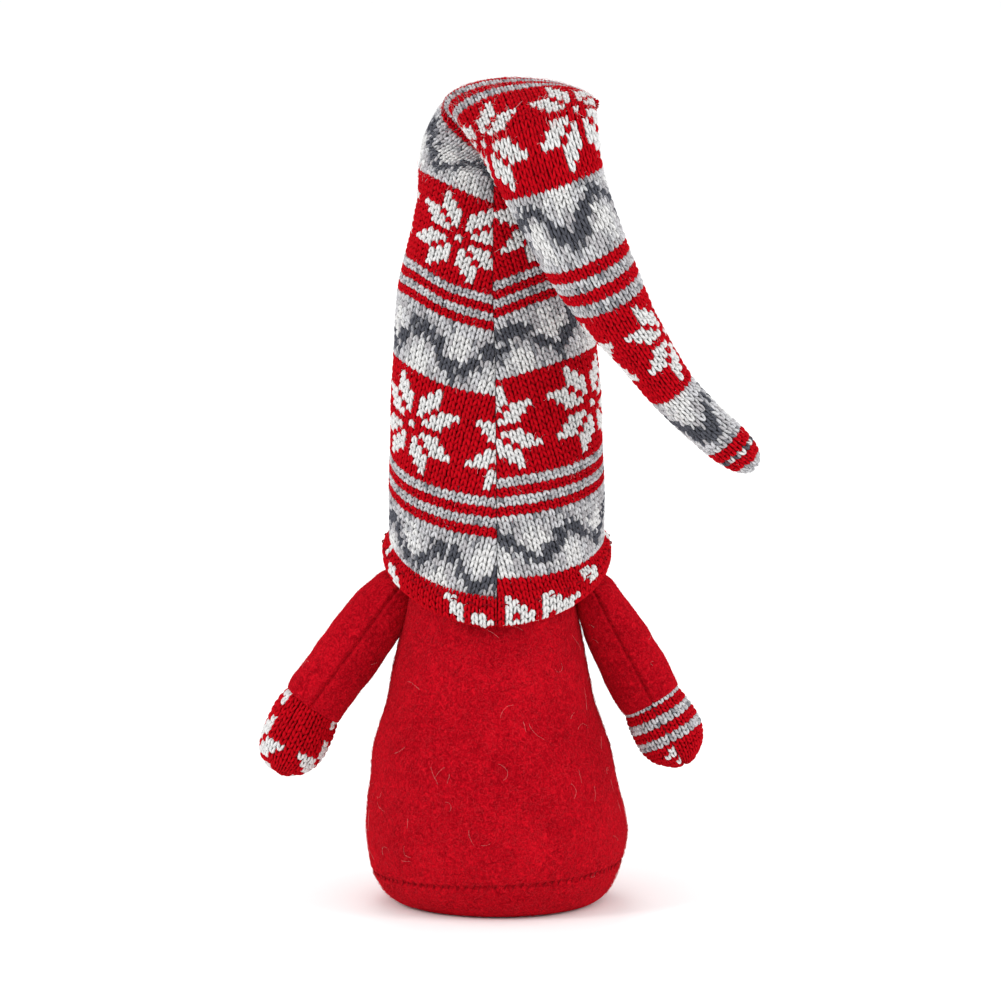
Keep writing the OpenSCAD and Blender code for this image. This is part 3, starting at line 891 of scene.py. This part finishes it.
def nap(name, tube, count, low, high, length, radius, mat, lift=0.5, curl=0.5, seed=5, points=5):
    # short loose fibres that stand off a cloth
    r = np.random.default_rng(seed)
    count = count
    s = r.uniform(low, high, count)
    f = r.uniform(0, 1, count)
    ang = r.uniform(0, 2 * math.pi, count)
    size = length * r.uniform(0.5, 1.4, count)
    girth = tube.girth(s)
    pts = []
    bend = r.normal(0, curl, count)
    out = np.zeros(count)
    ds, df = np.zeros(count), np.zeros(count)
    rise = lift * r.uniform(0.3, 1.3, count)
    for k in range(points):
        pts.append(tube.point(s + ds, f + df, out + 0.02))
        step = size / (points - 1)
        ds = ds + np.cos(ang) * step * 0.85
        df = df + np.sin(ang) * step * 0.85 / girth
        out = np.maximum(0.02, out + rise * step * (1 - 2.2 * k / points))
        ang = ang + bend + r.normal(0, curl * 0.4, count)
    paths = np.stack(pts, 1)
    taper = radius * np.linspace(1.0, 0.6, points) ** 1.5
    return strands(name, paths, taper, [mat])


# root darker and tip paler than the felt: painted shade at the root, painted highlight at the tip
napMat = fibreMat("redNap", (0.30, 0.001, 0.005), (0.72, 0.02, 0.035), 0.8)
for k, name in enumerate(("bodyNapLow", "bodyNapHigh")):
    ends = (bellPlaces[4], bellPlaces[12]) if k == 0 else (bellPlaces[12], bellPlaces[19])
    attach(nap(name, bellTube, bell["naps"], *ends, 2.6, 0.06, napMat, 0.3, 0.3, seed=15 + k), "torso")
paleFibre = fibreMat("paleFibre", (0.66, 0.36, 0.33), (0.8, 0.6, 0.55))
ends = (bellPlaces[5], bellPlaces[18])
stray = nap("strayFibres", bellTube, bell["strays"], *ends, 8.0, 0.03, paleFibre, 0.2, 0.13, seed=8, points=16)
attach(stray, "torso")
print("bell sewn")

# arms
arms = {
    "left": {
        "body": "left_arm",
        "sleeve": [
            (33.5, 122.5, 5.5, 8), (36.5, 119.5, 8.4, 10), (40.5, 114.2, 10.2, 11.4), (45.8, 107, 11.6, 12),
            (53, 97, 12.1, 12.3), (61, 86, 12.2, 12.2), (66.4, 78.6, 12.0, 12.0), (69.2, 74.6, 11.6, 11.6),
        ],
        "mitten": [
            (67.6, 76.6, 10.6, 10.6), (69.4, 74.0, 11.3, 11.3), (71.4, 70.4, 12.2, 11.9), (74.2, 65, 12.6, 12.2),
            (77, 59.2, 12.6, 12.2), (79.4, 54.2, 10.8, 11), (80.8, 51, 8.2, 8.4), (81.8, 48.9, 4.6, 4.8),
            (82.2, 48.1, 0.8, 0.8),
        ],
        "pattern": "flakes",
    },
    "right": {
        "body": "right_arm",
        "sleeve": [
            (-33.5, 121.5, 5.5, 8), (-36, 118, 8.0, 10), (-39, 111.8, 9.4, 11.4), (-43, 104, 10.9, 12),
            (-47.6, 95.2, 11.9, 12.2), (-52.4, 86.2, 12.2, 12.2), (-56, 79.2, 12.0, 12.0), (-57.7, 76.2, 11.6, 11.6),
        ],
        "mitten": [
            (-56.5, 78.2, 10.6, 10.6), (-58, 75.6, 11.3, 11.3), (-59.7, 72.4, 12.1, 11.9), (-62.3, 67.6, 12.6, 12.2),
            (-65.2, 62.2, 12.5, 12.2), (-67.6, 57.6, 10.9, 11), (-69, 54.8, 8.3, 8.4), (-70.1, 52.4, 4.6, 4.8),
            (-70.5, 51.6, 0.8, 0.8),
        ],
        "pattern": "stripes",
    },
}


def armTube(rows, along, wobble):
    rows = np.array(rows, float)
    centres = np.stack([rows[:, 0], 0 * rows[:, 0], rows[:, 1]], 1)
    ways = unit(np.gradient(centres, axis=0))
    sizes = zip(centres, ways, rows[:, 2], rows[:, 3])
    rings = [ringAt(c, w, np.array([0, 1.0, 0]), a, b, 120) for c, w, a, b in sizes]
    places = np.concatenate([[0], np.cumsum(np.linalg.norm(np.diff(centres, axis=0), axis=1))])
    return Tube(rings, places, along=along, around=200, wobble=wobble)


mittenStripes = "LLRRLLRRLLRRRRRRRR"
for side, arm in arms.items():
    sgn = 1 if side == "left" else -1
    seed = 31 if side == "left" else 47
    seamAt = 0.5 + sgn * 0.015

    def sleeveWobble(s, f, seed=seed, seamAt=seamAt):
        soft = wave(seed, 9, 0.01, 0.05, 4)(s, f) * 0.75
        soft = soft + wave(seed + 1, 8, 0.04, 0.12, 9)(s, f) * 0.3
        seam = -1.1 * np.exp(-(((f - seamAt) / 0.008) ** 2))
        lips = 0.45 * np.exp(-(((f - seamAt - 0.02) / 0.012) ** 2))
        lips = lips + 0.35 * np.exp(-(((f - seamAt + 0.02) / 0.012) ** 2))
        gather = -0.35 * np.abs(np.sin(s * 0.95)) ** 4 * np.exp(-(((f - seamAt) / 0.03) ** 2))
        return soft + seam + lips + gather

    tube = armTube(arm["sleeve"], 200, sleeveWobble)
    top = tube.places[-1]
    sleeve = tube.shell(side + "Sleeve", [redFelt], along=200, around=200)
    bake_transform(sleeve)
    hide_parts(side + "_sleeve", side + "_arm_stuffing", side + "_shoulder_thread")
    fluff = nap(side + "SleeveNap", tube, 2200, 3, top, 1.4, 0.035, napMat, 0.5, seed=seed)
    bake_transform(fluff)
    few = nap(side + "StrayFibres", tube, 10, 14, top - 8, 6.0, 0.03, paleFibre, 0.2, 0.13, seed=seed + 3, points=14)
    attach(few, arm["body"])

    hand = armTube(arm["mitten"], 160, lambda s, f, seed=seed: wave(seed + 5, 7, 0.02, 0.06, 4)(s, f) * 0.6)
    total = hand.places[-1]
    count, wale = 26, 2.92
    striped = arm["pattern"] == "stripes"
    rows = int(total / (1.85 if striped else 2.35))
    pitch = total / rows
    cells = []
    for r in range(rows):
        for c in range(count):
            letter = starAt((c + 2) % 15 - 7, (r + 11) % 15 - 7)
            if striped:
                letter = mittenStripes[r]
                if letter == "L":
                    letter = shades["L"][int(rng.integers(8))] + shades["L"][int(rng.integers(8))]
                if (r, c) in ((11, 13), (12, 13), (12, 14), (14, 13)):
                    letter = "W"
            cells.append(((c + 0.5) * wale, (r + 0.5) * pitch, pitch, letter))

    def mittenPlace(x, y, total=total, count=count, wale=wale, striped=striped):
        f = x / (count * wale)
        near = np.abs(f - 0.5) * 76
        dip = -0.8 - striped * 0.9 * np.exp(-((near / 1.2) ** 2))
        return np.clip(y, 0, total), f % 1.0, dip

    glove = knit(side + "MittenKnit", hand, cells, mittenPlace, wale)
    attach(glove, arm["body"])
    # a shell in painted shade under the mitten's knitting
    under = hand.shell(side + "MittenUnder", [deepGrey], out=-1.8, along=60, around=96)
    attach(under, arm["body"])
    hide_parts(side + "_mitten")
print("arms made")

# face
noseCloth = felt("noseCloth", (0.62, 0.36, 0.25), 0.85, 1.4)
noseShape = {
    "radius": 11.0,
    "centre": (-46.3, 125.0),
    "neck": [(-29.4, 3.6), (-31.2, 3.1), (-33.4, 3.2)],
    "gathers": 9,
}
noseRings, nosePlaces = [], []
noseOutline = list(noseShape["neck"])  # gathered neck, sewn to the body
noseY, noseZ = noseShape["centre"]
for a in np.radians(np.linspace(24, 176, 22)):
    r = noseShape["radius"] * math.sin(a) * (1 + 0.02 * math.sin(2 * a))
    noseOutline.append((noseY + noseShape["radius"] * math.cos(a), r))
for k, (y, r) in enumerate(noseOutline):
    noseRings.append(ringAt(np.array([0, y, noseZ]), np.array([0, -1.0, 0]), np.array([0, 0, 1.0]), r, r, 96))
    nosePlaces.append(nosePlaces[-1] + math.dist((y, r), noseOutline[k - 1]) if k else 0.0)


def noseWobble(s, f):
    folds = np.abs(np.sin(2 * math.pi * noseShape["gathers"] * f)) * np.exp(-(s / 9) ** 2)
    return wave(61, 8, 0.02, 0.06, 4)(s, f) * 0.35 - 0.5 * folds


noseTube = Tube(noseRings, nosePlaces, along=140, around=160, wobble=noseWobble)
nose = noseTube.shell("noseCover", [noseCloth], along=140, around=160)
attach(nose, "torso")
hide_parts("nose_cover", "nose_stuffing")
noseFibre = fibreMat("noseFibre", (0.65, 0.4, 0.3), (0.8, 0.55, 0.42))
noseNap = nap("noseNap", noseTube, 900, 6, 34, 1.0, 0.025, noseFibre, 0.4, seed=66)
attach(noseNap, "torso")

beard = {
    "strands": 3600, "points": 18, "radius": 0.17,
    "deep": 9.0,
    "edge": [(11, 115), (18, 109), (24, 99), (27, 86), (26.5, 72), (22, 58), (14, 47), (6, 39.5), (0, 36)],
    "tips": [(0, 35), (6, 39), (14, 47), (22, 58), (26.5, 70)],
    "spread": [(30, 0.35), (40, 0.5), (60, 0.85), (90, 1.05), (115, 1.0)],
    "full": [(30, 0.4), (46, 0.8), (62, 0.97), (80, 1), (98, 0.85), (115.4, 0.3)],
}


def bellRadius(z):
    p = np.array(bell["profile"][4:])
    return np.interp(z, p[:, 1], p[:, 0])


edgeTable = np.array(beard["edge"], float)[::-1]
rB = np.random.default_rng(77)
count = beard["strands"]
rootZ = 117.5 - 64.7 * rB.uniform(0, 1, count) ** 1.2
halfW = np.interp(rootZ, np.append(edgeTable[:, 1], 118.5), np.append(edgeTable[:, 0], 5.0))
rootX = halfW * rB.uniform(-1, 1, count) * 0.93
tipZ = np.interp(np.abs(rootX), *np.array(beard["tips"]).T) + 13 * rB.uniform(0, 1, count) ** 1.6
length = np.clip(rootZ - tipZ, 9, 60)
k = beard["points"]
u = np.linspace(0, 1, k)[None, :]
z = rootZ[:, None] - length[:, None] * u
spreadAt = np.array(beard["spread"]).T
spread = np.interp(z, *spreadAt) / np.interp(rootZ, *spreadAt)[:, None]
x = rootX[:, None] * spread
lock = np.round(rootX / 4.2) * 1.7 + np.round(rootZ / 9) * 2.3
phase = (lock + rB.normal(0, 0.5, count))[:, None]
waves = (1.9 + 0.7 * np.sin(lock * 1.7) + rB.normal(0, 0.15, count))[:, None]
amp = (1.3 + rB.uniform(-0.5, 0.7, count))[:, None] * np.sqrt(u)
x = x + amp * np.sin(waves * 2 * math.pi * u + phase) + rB.normal(0, 1.2, count)[:, None] * u**2
fullness = np.interp(z, *np.array(beard["full"]).T) * beard["deep"]
layer = rB.uniform(0.05, 1.0, count)[:, None]
stand = 1.9 + fullness * layer * np.clip(u * 3.2, 0, 1)
stand = stand + 0.6 * amp * np.cos(waves * 2 * math.pi * u + phase)
stand = np.maximum(stand, 1.6)
radius = bellRadius(z) + stand
ang = x / np.maximum(bellRadius(z), 30)
paths = np.stack([radius * np.sin(ang), -radius * np.cos(ang), z], -1)
taper = beard["radius"] * (1 - 0.7 * u) * rB.uniform(0.8, 1.4, count)[:, None]
hairMat = fibreMat("beardHair", (0.78, 0.75, 0.69), (0.93, 0.92, 0.89), 0.5)
for name, part in (("beardHair", slice(0, None, 2)), ("beardHairOver", slice(1, None, 2))):
    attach(strands(name, paths[part], taper[part], [hairMat]), "beard")
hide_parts("beard_fur")


def clothSheet(name, mats, near, far, cols=60, rows=90):
    # curved backing cloth cut to the beard's outline, front and back faces closed round the edge
    zz = np.linspace(114.6, 40, rows)
    hw = np.maximum(np.interp(zz, edgeTable[:, 1], edgeTable[:, 0]) - 1.5, 0.3)
    v = np.linspace(-1, 1, cols)
    layers = []
    for d in (near, far):
        xx = hw[:, None] * v[None, :]
        r = bellRadius(zz)[:, None] + d
        an = xx / np.maximum(bellRadius(zz), 30)[:, None]
        sheet = np.stack([r * np.sin(an), -r * np.cos(an), np.repeat(zz[:, None], cols, 1)], -1)
        layers.append(sheet.reshape(-1, 3))
    i, j = np.meshgrid(np.arange(rows - 1), np.arange(cols - 1), indexing="ij")
    a = (i * cols + j).ravel()
    m = rows * cols
    front = np.stack([a, a + cols, a + cols + 1, a + 1], 1) + m
    back = np.stack([a, a + 1, a + cols + 1, a + cols], 1)
    ring = np.concatenate([
        np.arange(cols), np.arange(1, rows) * cols + cols - 1,
        (rows - 1) * cols + np.arange(cols - 2, -1, -1), np.arange(rows - 2, 0, -1) * cols,
    ])
    nxt = np.roll(ring, -1)
    edge = np.stack([ring, ring + m, nxt + m, nxt], 1)
    return meshFrom(name, np.concatenate(layers), [front, back, edge], mats)


beardCloth = clothSheet("beardCloth", [felt("beardBacking", (0.6, 0.56, 0.5), 0.85)], 0.7, 1.7)
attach(beardCloth, "beard")
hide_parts("beard_backing")
print("face made")

# loose wool on the knitting
# each halo colour runs from a root darker than its yarn to a paler tip: painted shade at the root, painted highlight
# at the tip
haloMats = {
    "R": fibreMat("redHalo", (0.42, 0.002, 0.008), (0.66, 0.008, 0.02)),
    "W": fibreMat("whiteHalo", (0.72, 0.71, 0.69), (0.85, 0.84, 0.82)),
    "L": fibreMat("greyHalo", (0.34, 0.34, 0.36), (0.6, 0.6, 0.62)),
    "D": fibreMat("darkHalo", (0.1, 0.1, 0.12), (0.25, 0.25, 0.28)),
}


def halo(name, cells, place, tube, each, length, radius, seed):
    # loose ends of wool standing off the stitches, in the yarn they come from
    r = np.random.default_rng(seed)
    order = list(haloMats)
    near = {"V": "L", "M": "L"}
    picked = [c for c in cells for _ in range(each) if r.random() < (1.0)]
    n = len(picked)
    x = np.array([c[0] for c in picked]) + r.uniform(-1.3, 1.3, n)
    y = np.array([c[1] for c in picked]) + r.uniform(-1.1, 1.1, n)
    ang = r.uniform(0, 2 * math.pi, n)
    size = length * r.uniform(0.5, 1.5, n)
    out = np.full(n, 0.25)
    pts = []
    for k in range(5):
        s, f, dip = place(x, y)
        pts.append(tube.point(s, f, dip + out))
        x = x + np.cos(ang) * size / 4
        y = y + np.sin(ang) * size / 4
        out = out + r.uniform(0.15, 0.75, n) * size / 4 * (1 - 0.3 * k)
        ang = ang + r.normal(0, 0.5, n)
    mats = np.array([order.index(near.get(c[3][0], c[3][0])) for c in picked])
    return strands(name, np.stack(pts, 1), radius * np.linspace(1, 0.5, 5), list(haloMats.values()), mats)


looseEnds = {"plain": (4, 2.0), "brushed": (6, 3.2), "hem": (3, 1.8), "radius": 0.045}  # ends a stitch, length
for name, low, high, body in hatParts:
    ends = looseEnds["brushed" if name in ("hatKnitTop", "foldKnit") else "plain"]
    some = [c for c in allCells if low <= c[4] < high]
    wisps = halo(name.replace("Knit", "Halo"), some, hatPlace, hatTube, *ends, looseEnds["radius"], int(low) + 5)
    seat(wisps, body)
outer = hemCells[: len(hemCells) * 6 // 9]
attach(halo("hemHalo", outer, hemPlace, hemTube, *looseEnds["hem"], looseEnds["radius"], 71), "torso")

# dark thread run along the middle of the hem
paths, hemStitches = [], 40
for k in range(hemStitches):
    f = (k + 0.15) / hemStitches + np.linspace(0, 0.55 / hemStitches, 6)
    s = np.full(6, 8.0) + rng.normal(0, 0.1, 6)
    paths.append(hemTube.point(s, f, np.array([-0.2, 0.95, 1.35, 1.35, 0.95, -0.2])))
hemThread = strands("hemThread", paths, np.full((hemStitches, 6), 0.3), [redThread], sides=6)
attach(hemThread, "torso")
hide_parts("hem_thread")
print("loose wool and thread added")

# floor, light, camera
floorMat = Cloth("paleFloor", 0.95)
pf = floorMat.place()
floorMat.finish(floorMat.mix(floorMat.noise(pf, 3.0, 2.0), (0.96, 0.96, 0.96), (0.98, 0.98, 0.98)))
corners = 6000.0 * np.array([[-1, -1, 0], [1, -1, 0], [1, 1, 0], [-1, 1, 0]])
floor = meshFrom("floor", corners, [np.array([[0, 1, 2, 3]])], [floorMat.mat])


def softbox(name, place, target, size, power):
    lamp = bpy.data.lights.new(name, "AREA")
    lamp.shape = "DISK"
    lamp.size = size
    lamp.energy = power
    ob = bpy.data.objects.new(name, lamp)
    bpy.context.scene.collection.objects.link(ob)
    ob.location = place
    ob.rotation_euler = (Vector(target) - Vector(place)).to_track_quat("-Z", "Y").to_euler()


studio = {
    "boxes": {  # place, size and power
        "keyBox": ((1.35, 0.75, 1.0), 0.6, 10),
        "fillBox": ((-1.4, 0.6, 0.8), 0.7, 8),
        "backBox": ((0.2, -1.3, 1.3), 0.9, 5),
    },
    "aimAt": (0, 0, 0.14),
    "roomLight": 1.02,
    "lens": 480,
    "away": 5.0,
    "above": 10,
    "lookAt": (-0.0013, 0, 0.152),
}
for name, (place, size, power) in studio["boxes"].items():
    softbox(name, place, studio["aimAt"], size, power)
world = bpy.data.worlds.new("studio")
bpy.context.scene.world = world
world.use_nodes = True
world.node_tree.nodes["Background"].inputs[0].default_value = (1, 1, 1, 1)
world.node_tree.nodes["Background"].inputs[1].default_value = studio["roomLight"]
bpy.context.scene.view_settings.view_transform = "Standard"

cam = bpy.data.cameras.new("camera")
cam.lens = studio["lens"]
cam.sensor_width = 36
camera = bpy.data.objects.new("camera", cam)
bpy.context.scene.collection.objects.link(camera)
aim = Vector(studio["lookAt"])
tilt = math.radians(studio["above"])
camera.location = aim + Vector((0, math.cos(tilt), math.sin(tilt))) * studio["away"]
camera.rotation_euler = (aim - camera.location).to_track_quat("-Z", "Y").to_euler()
bpy.context.scene.camera = camera
print("studio set")
